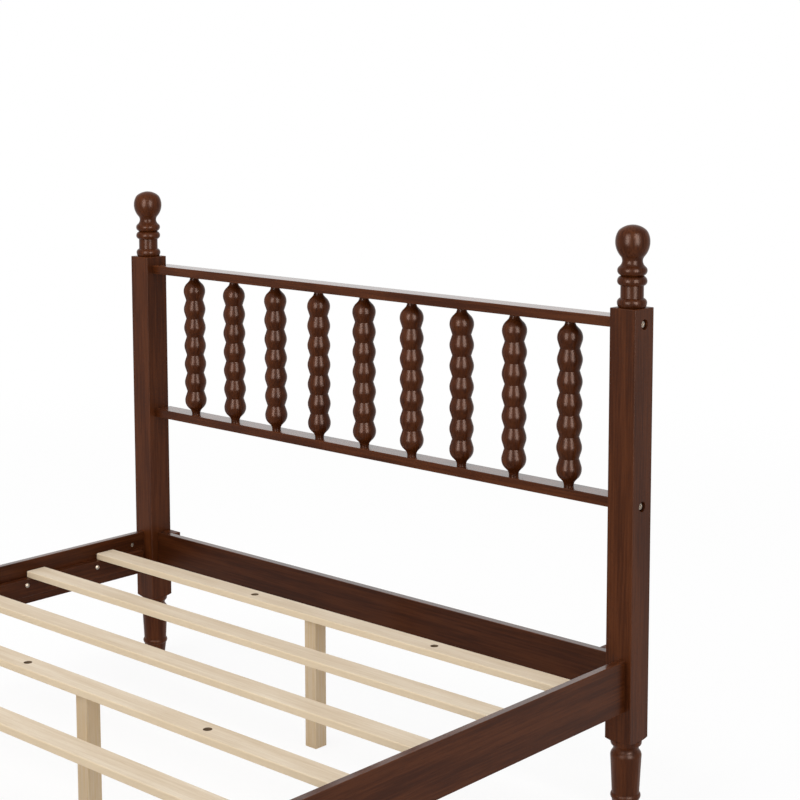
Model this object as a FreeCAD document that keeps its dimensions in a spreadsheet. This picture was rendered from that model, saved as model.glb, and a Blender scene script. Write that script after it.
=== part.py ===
import FreeCAD, Part
import math
import os
import re

import Sketcher
from FreeCAD import Placement, Rotation, Vector

# Platform bed with a turned spindle headboard and a slatted base, in millimetres.
# X runs across the bed, Y from the foot to the head, Z up, and the origin is the middle of the floor.

# Driving dimensions, each written once
SIZES = {
    # whole bed
    "bed_width": 1464,
    "rail_length": 1876,
    "post_side": 59,
    "edge_ease": 1.5,
    # heights of the frame above the floor
    "head_post_top": 987,
    "foot_post_top": 337,
    "lower_rail_top": 620.6,
    "bed_rail_top": 316,
    # the two thin rails of the headboard
    "thin_rail_drop": 19.9,
    "thin_rail_height": 20,
    "thin_rail_depth": 46,
    "thin_rail_setback": 18,
    # boards at bed level
    "bed_rail_height": 101,
    "side_rail_thick": 16,
    "side_rail_inset": 13,
    "end_panel_thick": 18,
    "end_panel_inset": 18,
    # turned foot of each post, its ring, neck and collar counted down from the shoulder
    "shoulder_height": 151,
    "shoulder_rise": 4,
    "ring_radius": 30.2,
    "ring_width": 5,
    "foot_neck_drop": 16.6,
    "foot_neck_radius": 24.6,
    "collar_drop": 31,
    "ankle_radius": 26.5,
    "foot_bead_radius": 29.2,
    "foot_bead_height": 39.7,
    "foot_bead_half": 6,
    "toe_radius": 22,
    # finial, heights above the post's top
    "finial_base_radius": 25,
    "finial_bead_radius": 28.3,
    "finial_base_bead": 9.3,
    "finial_stem_radius": 22,
    "finial_stem_bottom": 18,
    "finial_stem_top": 41.2,
    "finial_low_bead": 49.6,
    "finial_groove": 60,
    "finial_groove_radius": 20.8,
    "finial_high_bead": 69.6,
    "finial_neck": 88,
    "finial_neck_radius": 19.4,
    "finial_ball_height": 123.5,
    "finial_ball_radius": 32.7,
    "finial_height": 155.2,
    # beaded spindles
    "spindle_count": 9,
    "spindle_margin": 122.2,
    "bead_count": 7,
    "bead_radius": 25.3,
    "bead_waist": 19.7,
    "bead_round": 8.6,
    "bead_taper_radius": 23.9,
    "end_bead_height": 33.2,
    "spindle_neck_radius": 9.8,
    "spindle_neck": 1.5,
    "tenon_radius": 8,
    "tenon_length": 12,
    # slats, the cleats that carry them and the middle legs
    "slat_count": 9,
    "slat_width": 50,
    "slat_thick": 15,
    "slat_drop": 23,
    "slat_ease": 2.5,
    "slat_end_gap": 4,
    "head_slat_margin": 97.5,
    "foot_slat_margin": 97.5,
    "middle_gap_extra": 47,
    "slat_hole_radius": 8,
    "slat_hole_left": 176,
    "slat_hole_right": 345,
    "cleat_thick": 20,
    "cleat_height": 40,
    "cleat_end_gap": 20,
    "support_leg_side": 32,
    "support_leg_offset": 10,
    # corner blocks behind the end panels
    "block_length": 40,
    "block_depth": 20,
    "block_height": 62,
    # fasteners
    "fit_gap": 0.3,
    "bolt_radius": 3,
    "bolt_head_radius": 6.5,
    "bolt_head_height": 5,
    "bolt_socket_radius": 2.9,
    "bolt_socket_depth": 3,
    "sink_radius": 10,
    "sink_depth": 9,
    "thin_rail_bolt_bite": 16,
    "thin_rail_dowel_back": 6,
    "insert_radius": 5,
    "insert_length": 18,
    "side_bolt_reach": 45,
    "side_bolt_edge": 26.5,
    "barrel_radius": 5,
    "barrel_length": 11,
    "barrel_setback": 35,
    "dowel_radius": 4,
    "dowel_bite": 18,
    "stud_radius": 4,
    "stud_bite": 20,
    "slat_stud_bite": 10,
    "pin_radius": 4,
    "pin_rise": 8,
    "pin_depth": 12,
    "screw_radius": 2,
    "screw_head_radius": 5.5,
    "screw_head_height": 3.2,
    "cleat_screw_drop": 14,
    "cleat_screw_ahead": 9,
    "cleat_screw_bite": 12,
    "block_screw_bite": 12,
    "block_screw_edge": 14,
}

# Places worked out from those sizes
POST_X = "(bed_width - post_side) / 2"
POST_Y = "(rail_length + post_side) / 2"
HALF_POST = "post_side / 2"
SPAN = "(bed_width - 2 * post_side)"
THIN_RAIL_Y = "(rail_length / 2 + thin_rail_setback + thin_rail_depth / 2)"
TOP_RAIL_TOP = "(head_post_top - thin_rail_drop)"
SPINDLE_LENGTH = "(head_post_top - thin_rail_drop - thin_rail_height - lower_rail_top)"
SIDE_RAIL_X = "(bed_width / 2 - side_rail_inset - side_rail_thick / 2)"
SIDE_RAIL_INNER = "(bed_width / 2 - side_rail_inset - side_rail_thick)"
SLAT_BOTTOM = "(bed_rail_top - slat_drop - slat_thick)"
SLAT_RUN = "(rail_length - head_slat_margin - foot_slat_margin - slat_width)"
SLAT_PITCH = f"(({SLAT_RUN} - middle_gap_extra) / (slat_count - 1))"
PANEL_Y = "(rail_length / 2 + end_panel_inset + end_panel_thick / 2)"
BLOCK_X = f"({SPAN} / 2 - block_length / 2)"
BLOCK_Y = "(rail_length / 2 + end_panel_inset + end_panel_thick + block_depth / 2)"
THIN_RAIL_HEIGHTS = (f"({TOP_RAIL_TOP} - thin_rail_height / 2)", "(lower_rail_top - thin_rail_height / 2)")
THIN_RAIL_DOWEL_Y = f"({THIN_RAIL_Y} + thin_rail_dowel_back)"
SIDE_BOLT_DROPS = ("side_bolt_edge", "(bed_rail_height - side_bolt_edge)")
SIDE_DOWEL_Z = "(bed_rail_top - bed_rail_height / 2)"
BLOCK_SCREW_DROPS = ("block_screw_edge", "(block_height - block_screw_edge)")
# The spindles reach out behind the headboard, beyond the finials
HEAD_OVERHANG = f"max({THIN_RAIL_Y} + bead_radius - ({POST_Y} + finial_ball_radius); 0)"
CLEAT_X = f"({SIDE_RAIL_INNER} - cleat_thick / 2)"
CLEAT_SCREW_Z = f"({SLAT_BOTTOM} - cleat_screw_drop)"
SIDES = {"left": -1, "right": 1}
ENDS = {"head": 1, "foot": -1}
LEGGED_SLATS = (0, 3, 5, 8)
MIDDLE_SLAT = SIZES["slat_count"] // 2

AXIS_TURNS = {
    "x": Rotation(Vector(0, 1, 0), 90),
    "-x": Rotation(Vector(0, 1, 0), -90),
    "y": Rotation(Vector(1, 0, 0), -90),
    "-y": Rotation(Vector(1, 0, 0), 90),
    "z": Rotation(),
    "-z": Rotation(Vector(1, 0, 0), 180),
}

doc = FreeCAD.newDocument("PlatformBed")
sheet = doc.addObject("Spreadsheet::Sheet", "Sizes")
for row, (alias, number) in enumerate(SIZES.items(), start=1):
    sheet.set(f"A{row}", alias)
    sheet.set(f"B{row}", str(number))
    sheet.setAlias(f"B{row}", alias)
doc.recompute()


def formula(text):
    """Writes the sizes named in a formula as references to the sheet."""
    return re.sub(r"[a-z_]+", lambda word: f"Sizes.{word[0]}" if word[0] in SIZES else word[0], text)


def value(text):
    """Works a formula of sizes out as a number."""
    return float(sheet.evalExpression(formula(text)))


def bind(item, prop, text):
    """Ties a property to sizes of the sheet."""
    item.setExpression(prop, formula(text))


def place(item, at, axis="z"):
    """Stands an item at a point given by three formulas, its own Z along the named axis."""
    item.Placement = Placement(Vector(), AXIS_TURNS[axis])
    for letter, text in zip("xyz", at):
        bind(item, f"Placement.Base.{letter}", text)


def stand(piece, at, axis="z"):
    """Places a whole piece so that the origin is under the middle of the bed's outer box."""
    across, along, height = at
    place(piece, (across, f"{along} - {HEAD_OVERHANG} / 2", height), axis)


def new_body(label, at, axis="z"):
    """Starts one sub-part, with its own label and place."""
    body = doc.addObject("PartDesign::Body", label)
    body.Label = label
    stand(body, at, axis)
    return body


def block(body, length, width, height, bottom="0"):
    """Adds a block centred on the body's axis, standing on a height."""
    box = body.newObject("PartDesign::AdditiveBox", "Block")
    bind(box, "Length", length)
    bind(box, "Width", width)
    bind(box, "Height", height)
    place(box, (f"-({length}) / 2", f"-({width}) / 2", bottom))
    return box


def ease(body, box, radius):
    """Rounds every edge of a sawn piece."""
    doc.recompute()
    names = [f"Edge{number}" for number in range(1, len(box.Shape.Edges) + 1)]
    rounding = body.newObject("PartDesign::Fillet", "EasedEdges")
    rounding.Base = (box, names)
    bind(rounding, "Radius", radius)


def bore(body, at, axis, radius, depth):
    """Drills a round hole into a body, starting at a point and running along an axis."""
    hole = body.newObject("PartDesign::SubtractiveCylinder", "Bore")
    bind(hole, "Radius", radius)
    bind(hole, "Height", depth)
    place(hole, at, axis)


def locate(sketch, geometry, end, radius, height):
    """Holds one end of a line at a radius and a height given by formulas."""
    for kind, axis_line, text in (("DistanceX", -2, radius), ("DistanceY", -1, height)):
        if text == "0":
            sketch.addConstraint(Sketcher.Constraint("PointOnObject", geometry, end, axis_line))
            continue
        rule = Sketcher.Constraint(kind, -1, 1, geometry, end, value(text))
        bind(sketch, f"Constraints[{sketch.addConstraint(rule)}]", text)


def arc_between(start, end, radius):
    """Makes the short arc from start up to end, bulging outward, or inward for a negative radius."""
    chord = end - start
    reach = math.sqrt(radius ** 2 - (chord.Length / 2) ** 2)
    side = Vector(-chord.y, chord.x, 0).normalize() * math.copysign(reach, radius)
    centre = (start + end) / 2 + side
    first, last = (start, end) if radius > 0 else (end, start)
    angles = [math.atan2(point.y - centre.y, point.x - centre.x) for point in (first, last)]
    if angles[1] < angles[0]:
        angles[1] += 2 * math.pi
    circle = Part.Circle(centre, Vector(0, 0, 1), abs(radius))
    return Part.ArcOfCircle(circle, *angles)


def half_outline(body, outline):
    """Draws a closed half section: (radius, height) points, with a third formula where an arc leads there."""
    sketch = body.newObject("Sketcher::SketchObject", "HalfSection")
    plane = [feature for feature in body.Origin.OriginFeatures if feature.Role == "XZ_Plane"][0]
    sketch.AttachmentSupport = (plane, [""])
    sketch.MapMode = "FlatFace"
    points = [Vector(value(step[0]), value(step[1]), 0) for step in outline]
    ends = []
    for number, step in enumerate(outline):
        start, end = points[number - 1], points[number]
        if len(step) == 3:
            radius = value(step[2])
            piece = sketch.addGeometry(arc_between(start, end, radius))
            rule = Sketcher.Constraint("Radius", piece, abs(radius))
            bind(sketch, f"Constraints[{sketch.addConstraint(rule)}]", f"abs({step[2]})")
            ends.append((piece, 1, 2) if radius > 0 else (piece, 2, 1))
        else:
            ends.append((sketch.addGeometry(Part.LineSegment(start, end)), 1, 2))
    for number, step in enumerate(outline):
        piece, _, far = ends[number]
        follower, near, _ = ends[(number + 1) % len(ends)]
        sketch.addConstraint(Sketcher.Constraint("Coincident", piece, far, follower, near))
        locate(sketch, piece, far, step[0], step[1])
    return sketch


def turn(body, outline, kind="Revolution"):
    """Turns a half section about the body's axis, adding wood or, as a Groove, cutting it away."""
    sketch = half_outline(body, outline)
    turned = body.newObject(f"PartDesign::{kind}", "Turned")
    turned.Profile = sketch
    turned.ReferenceAxis = (sketch, ["V_Axis"])
    turned.Angle = 360
    return turned


def arc_radius(rise, run):
    """Gives the radius of an arc that leaves a line squarely and reaches rise over run."""
    return f"((({run}) ^ 2 + ({rise}) ^ 2) / (2 * ({rise})))"


def s_curve(start, end, share):
    """Gives two arcs that leave start and reach end upright; share is the first arc's part of the way."""
    rise = f"(({end[0]}) - ({start[0]}))"
    run = f"(({end[1]}) - ({start[1]}))"
    whole = arc_radius(rise, run)
    bend = (f"({start[0]}) + {share} * {rise}", f"({start[1]}) + {share} * {run}", f"-{share} * {whole}")
    return [bend, (*end, f"(1 - {share}) * {whole}")]


def group(label, members):
    """Joins like fasteners under one label as separate solids."""
    compound = doc.addObject("Part::Compound", label)
    compound.Label = label
    compound.Links = members
    return compound


def rod(label, at, axis, radius, length):
    """Makes a plain round rod from a point along an axis."""
    cylinder = doc.addObject("Part::Cylinder", label)
    bind(cylinder, "Radius", radius)
    bind(cylinder, "Height", length)
    stand(cylinder, at, axis)
    return cylinder


def socket_bolt(label, at, axis, reach):
    """Makes a bolt whose head's underside is at a point and whose shank runs along an axis."""
    body = new_body(label, at, axis)
    turn(body, [
        ("0", reach),
        ("0", "-bolt_head_height"),
        ("bolt_head_radius", "-bolt_head_height"),
        ("bolt_head_radius", "0"),
        ("bolt_radius", "0"),
        ("bolt_radius", reach),
    ])
    socket = body.newObject("PartDesign::SubtractivePrism", "Socket")
    socket.Polygon = 6
    bind(socket, "Circumradius", "bolt_socket_radius")
    bind(socket, "Height", "bolt_socket_depth")
    place(socket, ("0", "0", "-bolt_head_height"))
    return body


def dome_screw(label, at, axis, reach):
    """Makes a screw with a domed head, whose underside is at a point."""
    body = new_body(label, at, axis)
    turn(body, [
        ("0", reach),
        ("0", "-screw_head_height"),
        ("screw_head_radius", "0", arc_radius("screw_head_height", "screw_head_radius")),
        ("screw_radius", "0"),
        ("screw_radius", reach),
    ])
    return body


# Posts: a square upper length with a turned foot below it
def turned_foot():
    """Gives the half section of a post's foot, from the floor up to the square's shoulder."""
    collar = ("ring_radius", "(shoulder_height - collar_drop)")
    neck = ("foot_neck_radius", "(shoulder_height - foot_neck_drop)")
    ring = ("ring_radius", "(shoulder_height - ring_width)")
    return [
        ("0", "0"),
        ("toe_radius", "0"),
        ("ankle_radius", "foot_bead_height - foot_bead_half"),
        ("ankle_radius", "foot_bead_height + foot_bead_half",
         arc_radius("(foot_bead_radius - ankle_radius)", "foot_bead_half")),
        collar,
        *s_curve(collar, neck, 0.6),
        *s_curve(neck, ring, 0.5),
        ("ring_radius", "shoulder_height"),
        ("0", "shoulder_height"),
    ]


def bolt_sink(body, at, axis):
    """Drills a bolt's clearance hole through a post and sinks its head."""
    bore(body, at, axis, "bolt_radius + fit_gap", "post_side")
    bore(body, at, axis, "sink_radius", "sink_depth")


def post(end, side_name):
    """Makes one post with its bolt holes."""
    side = SIDES[side_name]
    away = ENDS[end]
    top = f"{end}_post_top"
    body = new_body(f"{end}_post_{side_name}", (f"{side} * {POST_X}", f"{away} * {POST_Y}", "0"))
    square = block(body, "post_side", "post_side", f"{top} - shoulder_height", "shoulder_height")
    ease(body, square, "edge_ease")
    corner = "(post_side / sqrt(2))"
    turn(body, [
        ("ring_radius", "shoulder_height"),
        (corner, "shoulder_height"),
        (corner, "shoulder_height + shoulder_rise"),
    ], "Groove")
    turn(body, turned_foot())
    across = f"{side} * ({SIDE_RAIL_X} - {POST_X})"
    for drop in SIDE_BOLT_DROPS:
        at = (across, f"{away} * {HALF_POST}", f"bed_rail_top - {drop}")
        bolt_sink(body, at, "-y" if away > 0 else "y")
    bore(body, (across, f"-{away} * {HALF_POST}", SIDE_DOWEL_Z), "y" if away > 0 else "-y",
         "dowel_radius + fit_gap", "dowel_bite + fit_gap")
    bore(body, ("0", "0", top), "-z", "stud_radius + fit_gap", "stud_bite + fit_gap")
    if end == "head":
        inward = "-x" if side > 0 else "x"
        outward = "x" if side > 0 else "-x"
        for height in THIN_RAIL_HEIGHTS:
            bolt_sink(body, (f"{side} * {HALF_POST}", "0", height), inward)
            bore(body, (f"-{side} * {HALF_POST}", f"{THIN_RAIL_DOWEL_Y} - {POST_Y}", height), outward,
                 "dowel_radius + fit_gap", "dowel_bite + fit_gap")
    return body


nodes = [post(end, side) for end in ENDS for side in SIDES]


# Finials: a turned ball on a beaded stem, screwed to the top of each post
def finial(end, side_name):
    """Makes one finial, standing on its post."""
    side = SIDES[side_name]
    body = new_body(f"{end}_finial_{side_name}",
                    (f"{side} * {POST_X}", f"{ENDS[end]} * {POST_Y}", f"{end}_post_top"))
    stem_rise = "(finial_bead_radius - finial_stem_radius)"
    groove_rise = "(finial_bead_radius - finial_groove_radius)"
    high_bead = ("finial_bead_radius", "finial_high_bead")
    neck = ("finial_neck_radius", "finial_neck")
    ball = ("finial_ball_radius", "finial_ball_height")
    crown = "(finial_height - finial_ball_height)"
    turn(body, [
        ("0", "0"),
        ("finial_base_radius", "0"),
        ("finial_bead_radius", "finial_base_bead",
         arc_radius("(finial_bead_radius - finial_base_radius)", "finial_base_bead")),
        ("finial_stem_radius", "finial_stem_bottom",
         arc_radius(stem_rise, "(finial_stem_bottom - finial_base_bead)")),
        ("finial_stem_radius", "finial_stem_top"),
        ("finial_bead_radius", "finial_low_bead",
         arc_radius(stem_rise, "(finial_low_bead - finial_stem_top)")),
        ("finial_groove_radius", "finial_groove",
         arc_radius(groove_rise, "(finial_groove - finial_low_bead)")),
        (*high_bead, arc_radius(groove_rise, "(finial_high_bead - finial_groove)")),
        *s_curve(high_bead, neck, 0.4),
        *s_curve(neck, ball, 0.22),
        # the ball's crown is a little fuller than a half circle: a tight arc between two wide ones
        ("0.878 * finial_ball_radius", f"finial_height - 0.457 * {crown}",
         arc_radius("0.122 * finial_ball_radius", f"0.543 * {crown}")),
        ("0.685 * finial_ball_radius", f"finial_height - 0.227 * {crown}", "0.61 * finial_ball_radius"),
        ("0", "finial_height", arc_radius(f"0.227 * {crown}", "0.685 * finial_ball_radius")),
    ])
    bore(body, ("0", "0", "0"), "z", "stud_radius + fit_gap", "stud_bite + fit_gap")
    return body


nodes += [finial(end, side) for end in ENDS for side in SIDES]
nodes.append(group("finial_studs", [
    rod(f"finial_stud_{end}_{side_name}",
        (f"{side} * {POST_X}", f"{away} * {POST_Y}", f"{end}_post_top - stud_bite"),
        "z", "stud_radius", "2 * stud_bite")
    for end, away in ENDS.items() for side_name, side in SIDES.items()
]))


# Headboard: two thin rails bolted between the posts, with the spindles tenoned between them
def spindle_x(number):
    """Gives the place of one spindle across the bed."""
    step = f"(({SPAN} - 2 * spindle_margin) / (spindle_count - 1))"
    return f"(({number} - (spindle_count - 1) / 2) * {step})"


def thin_rail(label, top, socket_from):
    """Makes one thin rail, with spindle sockets and end holes."""
    body = new_body(label, ("0", THIN_RAIL_Y, f"{top} - thin_rail_height"))
    bar = block(body, SPAN, "thin_rail_depth", "thin_rail_height")
    ease(body, bar, "edge_ease")
    for number in range(SIZES["spindle_count"]):
        at = (spindle_x(number), "0", "thin_rail_height" if socket_from == "-z" else "0")
        bore(body, at, socket_from, "tenon_radius + fit_gap", "tenon_length + fit_gap")
    for side in SIDES.values():
        inward = "-x" if side > 0 else "x"
        face = f"{side} * {SPAN} / 2"
        middle = "thin_rail_height / 2"
        bolt_at = (face, f"{POST_Y} - {THIN_RAIL_Y}", middle)
        bore(body, bolt_at, inward, "insert_radius + fit_gap", "insert_length + fit_gap")
        bore(body, (face, "thin_rail_dowel_back", middle), inward,
             "dowel_radius + fit_gap", "dowel_bite + fit_gap")
    return body


nodes.append(thin_rail("head_top_rail", TOP_RAIL_TOP, "z"))
nodes.append(thin_rail("head_lower_rail", "lower_rail_top", "-z"))


def spindle(number):
    """Makes one spindle: round bellies that taper straight to sharp waists, and a tenon at each end."""
    body = new_body(f"head_spindle_{number + 1}",
                    (spindle_x(number), THIN_RAIL_Y, "lower_rail_top - tenon_length"))
    first = "(tenon_length + end_bead_height)"
    pitch = f"(({SPINDLE_LENGTH} - 2 * end_bead_height) / (bead_count - 1))"
    top = f"(tenon_length + {SPINDLE_LENGTH})"
    beads = [("bead_radius", f"({first} + {row} * {pitch})") for row in range(SIZES["bead_count"])]
    waists = [("bead_waist", f"({height} + {pitch} / 2)") for _, height in beads[:-1]]
    belly = arc_radius("(bead_radius - bead_taper_radius)", "bead_round")
    low_neck = ("spindle_neck_radius", "tenon_length + spindle_neck")
    high_neck = ("spindle_neck_radius", f"{top} - spindle_neck")
    outline = [
        ("0", "0"),
        ("tenon_radius", "0"),
        ("tenon_radius", "tenon_length"),
        ("spindle_neck_radius", "tenon_length"),
        low_neck,
        *s_curve(low_neck, beads[0], 0.37),
    ]
    for below, waist, above in zip(beads, waists, beads[1:]):
        outline += [
            ("bead_taper_radius", f"{below[1]} + bead_round", belly),
            waist,
            ("bead_taper_radius", f"{above[1]} - bead_round"),
            (*above, belly),
        ]
    outline += [
        *s_curve(beads[-1], high_neck, 0.63),
        ("spindle_neck_radius", top),
        ("tenon_radius", top),
        ("tenon_radius", f"{top} + tenon_length"),
        ("0", f"{top} + tenon_length"),
    ]
    turn(body, outline)
    return body


nodes += [spindle(number) for number in range(SIZES["spindle_count"])]

bolts, inserts, dowels = [], [], []
for row, height in enumerate(THIN_RAIL_HEIGHTS):
    for side_name, side in SIDES.items():
        tag = f"{row}_{side_name}"
        inward = "-x" if side > 0 else "x"
        seat = f"{side} * (bed_width / 2 - sink_depth)"
        bolts.append(socket_bolt(f"thin_rail_bolt_{tag}", (seat, POST_Y, height), inward,
                                 "post_side - sink_depth + thin_rail_bolt_bite"))
        sleeve = new_body(f"insert_{tag}", (f"{side} * {SPAN} / 2", POST_Y, height), inward)
        turn(sleeve, [
            ("bolt_radius + fit_gap", "0"),
            ("insert_radius", "0"),
            ("insert_radius", "insert_length"),
            ("bolt_radius + fit_gap", "insert_length"),
        ])
        inserts.append(sleeve)
        dowel_end = f"{side} * ({SPAN} / 2 + dowel_bite)"
        dowels.append(rod(f"thin_rail_dowel_{tag}", (dowel_end, THIN_RAIL_DOWEL_Y, height),
                          inward, "dowel_radius", "2 * dowel_bite"))
nodes.append(group("head_rail_bolts", bolts))
nodes.append(group("head_rail_inserts", inserts))
nodes.append(group("head_rail_dowels", dowels))


# End panels at bed level, each held by a block in either corner
def end_panel(end):
    """Makes the board between the posts of one end."""
    body = new_body(f"{end}_panel", ("0", f"{ENDS[end]} * {PANEL_Y}", "bed_rail_top - bed_rail_height"))
    board = block(body, SPAN, "end_panel_thick", "bed_rail_height")
    ease(body, board, "edge_ease")
    for side in SIDES.values():
        for drop in BLOCK_SCREW_DROPS:
            at = (f"{side} * {BLOCK_X}", f"{ENDS[end]} * end_panel_thick / 2", f"bed_rail_height - {drop}")
            bore(body, at, "-y" if ENDS[end] > 0 else "y",
                 "screw_radius + fit_gap", "block_screw_bite + fit_gap")
    return body


def corner_block(end, side_name):
    """Makes one corner block, bored for its screws."""
    side = SIDES[side_name]
    away = ENDS[end]
    body = new_body(f"{end}_corner_block_{side_name}",
                    (f"{side} * {BLOCK_X}", f"{away} * {BLOCK_Y}", "bed_rail_top - block_height"))
    piece = block(body, "block_length", "block_depth", "block_height")
    ease(body, piece, "edge_ease")
    for drop in BLOCK_SCREW_DROPS:
        bore(body, ("0", f"{away} * block_depth / 2", f"block_height - {drop}"), "-y" if away > 0 else "y",
             "screw_radius + fit_gap", "block_depth")
    return body


nodes += [end_panel(end) for end in ENDS]
nodes += [corner_block(end, side) for end in ENDS for side in SIDES]
nodes.append(group("corner_block_screws", [
    dome_screw(f"block_screw_{end}_{side_name}_{row}",
               (f"{side} * {BLOCK_X}", f"{away} * ({BLOCK_Y} + block_depth / 2)", f"bed_rail_top - {drop}"),
               "-y" if away > 0 else "y", "block_depth + block_screw_bite")
    for end, away in ENDS.items()
    for side_name, side in SIDES.items()
    for row, drop in enumerate(BLOCK_SCREW_DROPS)
]))


# Side rails, bolted through the posts into barrel nuts, and the cleats screwed to their inner faces
def slat_y(number):
    """Gives the middle of one slat, counted from the head, with a wider gap after the middle slat."""
    first = "rail_length / 2 - head_slat_margin - slat_width / 2"
    wider = "middle_gap_extra" if number > MIDDLE_SLAT else "0"
    return f"({first} - {number} * {SLAT_PITCH} - {wider})"


def cleat_screw_y(number):
    """Gives the place of the cleat screw beside one slat."""
    return f"({slat_y(number)} - slat_width / 2 - cleat_screw_ahead)"


def side_rail(side_name):
    """Makes one side rail with its end holes and screw holes."""
    side = SIDES[side_name]
    bottom = "(bed_rail_top - bed_rail_height)"
    body = new_body(f"side_rail_{side_name}", (f"{side} * {SIDE_RAIL_X}", "0", bottom))
    board = block(body, "side_rail_thick", "rail_length", "bed_rail_height")
    ease(body, board, "edge_ease")
    outward = "x" if side > 0 else "-x"
    inner = f"-{side} * side_rail_thick / 2"
    for away in ENDS.values():
        face = f"{away} * rail_length / 2"
        inward = "-y" if away > 0 else "y"
        for drop in SIDE_BOLT_DROPS:
            height = f"bed_rail_height - {drop}"
            bore(body, ("0", face, height), inward, "bolt_radius + fit_gap", "side_bolt_reach + fit_gap")
            bore(body, (inner, f"{away} * (rail_length / 2 - barrel_setback)", height), outward,
                 "barrel_radius + fit_gap", "(side_rail_thick + barrel_length) / 2 + fit_gap")
        bore(body, ("0", face, f"{SIDE_DOWEL_Z} - {bottom}"), inward,
             "dowel_radius + fit_gap", "dowel_bite + fit_gap")
    for number in range(SIZES["slat_count"]):
        bore(body, (inner, cleat_screw_y(number), f"{CLEAT_SCREW_Z} - {bottom}"), outward,
             "screw_radius + fit_gap", "cleat_screw_bite + fit_gap")
    return body


def cleat(side_name):
    """Makes the ledge that carries the slats along one side rail."""
    side = SIDES[side_name]
    body = new_body(f"slat_cleat_{side_name}", (f"{side} * {CLEAT_X}", "0", f"{SLAT_BOTTOM} - cleat_height"))
    strip = block(body, "cleat_thick", "rail_length - 2 * cleat_end_gap", "cleat_height")
    ease(body, strip, "edge_ease")
    for number in range(SIZES["slat_count"]):
        bore(body, (f"-{side} * cleat_thick / 2", cleat_screw_y(number), "cleat_height - cleat_screw_drop"),
             "x" if side > 0 else "-x", "screw_radius + fit_gap", "cleat_thick")
        bore(body, ("0", slat_y(number), "cleat_height"), "-z", "pin_radius + fit_gap", "pin_depth + fit_gap")
    return body


nodes += [side_rail(side) for side in SIDES]
nodes += [cleat(side) for side in SIDES]

bolts, nuts, dowels = [], [], []
for end, away in ENDS.items():
    for side_name, side in SIDES.items():
        inward = "-y" if away > 0 else "y"
        for row, drop in enumerate(SIDE_BOLT_DROPS):
            tag = f"{end}_{side_name}_{row}"
            height = f"bed_rail_top - {drop}"
            seat = f"{away} * (rail_length / 2 + post_side - sink_depth)"
            bolts.append(socket_bolt(f"side_bolt_{tag}", (f"{side} * {SIDE_RAIL_X}", seat, height), inward,
                                     "post_side - sink_depth + side_bolt_reach"))
            nut_at = (f"{side} * ({SIDE_RAIL_X} - barrel_length / 2)",
                      f"{away} * (rail_length / 2 - barrel_setback)", height)
            nut = new_body(f"barrel_nut_{tag}", nut_at, "x" if side > 0 else "-x")
            barrel = nut.newObject("PartDesign::AdditiveCylinder", "Barrel")
            bind(barrel, "Radius", "barrel_radius")
            bind(barrel, "Height", "barrel_length")
            bore(nut, ("0", "-2 * barrel_radius", "barrel_length / 2"), "y",
                 "bolt_radius + fit_gap", "4 * barrel_radius")
            nuts.append(nut)
        dowel_at = (f"{side} * {SIDE_RAIL_X}", f"{away} * (rail_length / 2 + dowel_bite)", SIDE_DOWEL_Z)
        dowels.append(rod(f"side_dowel_{end}_{side_name}", dowel_at, inward,
                          "dowel_radius", "2 * dowel_bite"))
nodes.append(group("side_rail_bolts", bolts))
nodes.append(group("side_rail_barrel_nuts", nuts))
nodes.append(group("side_rail_dowels", dowels))
nodes.append(group("cleat_screws", [
    dome_screw(f"cleat_screw_{side_name}_{number}",
               (f"{side} * ({SIDE_RAIL_INNER} - cleat_thick)", cleat_screw_y(number), CLEAT_SCREW_Z),
               "x" if side > 0 else "-x", "cleat_thick + cleat_screw_bite")
    for side_name, side in SIDES.items() for number in range(SIZES["slat_count"])
]))


# Slats on their cleats, located by pins, and the square legs under the middle of some of them
def slat(number):
    """Makes one slat, with spare holes where a leg stands under it."""
    body = new_body(f"slat_{number + 1}", ("0", slat_y(number), SLAT_BOTTOM))
    board = block(body, f"2 * ({SIDE_RAIL_INNER} - slat_end_gap)", "slat_width", "slat_thick")
    ease(body, board, "slat_ease")
    for side in SIDES.values():
        bore(body, (f"{side} * {CLEAT_X}", "0", "0"), "z", "pin_radius + fit_gap", "pin_rise + fit_gap")
    if number in LEGGED_SLATS:
        for hole in ("-slat_hole_left", "slat_hole_right"):
            bore(body, (hole, "0", "0"), "z", "slat_hole_radius", "slat_thick")
        bore(body, ("support_leg_offset", "0", "0"), "z", "stud_radius + fit_gap", "slat_stud_bite + fit_gap")
    return body


def support_leg(number):
    """Makes the square leg under one slat."""
    body = new_body(f"support_leg_{LEGGED_SLATS.index(number) + 1}",
                    ("support_leg_offset", slat_y(number), "0"))
    stick = block(body, "support_leg_side", "support_leg_side", SLAT_BOTTOM)
    ease(body, stick, "edge_ease")
    bore(body, ("0", "0", SLAT_BOTTOM), "-z", "stud_radius + fit_gap", "stud_bite + fit_gap")
    return body


nodes += [slat(number) for number in range(SIZES["slat_count"])]
nodes += [support_leg(number) for number in LEGGED_SLATS]
nodes.append(group("slat_pins", [
    rod(f"slat_pin_{side_name}_{number}",
        (f"{side} * {CLEAT_X}", slat_y(number), f"{SLAT_BOTTOM} - pin_depth"),
        "z", "pin_radius", "pin_depth + pin_rise")
    for side_name, side in SIDES.items() for number in range(SIZES["slat_count"])
]))
nodes.append(group("support_leg_studs", [
    rod(f"support_stud_{number}", ("support_leg_offset", slat_y(number), f"{SLAT_BOTTOM} - stud_bite"),
        "z", "stud_radius", "stud_bite + slat_stud_bite")
    for number in LEGGED_SLATS
]))

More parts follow.
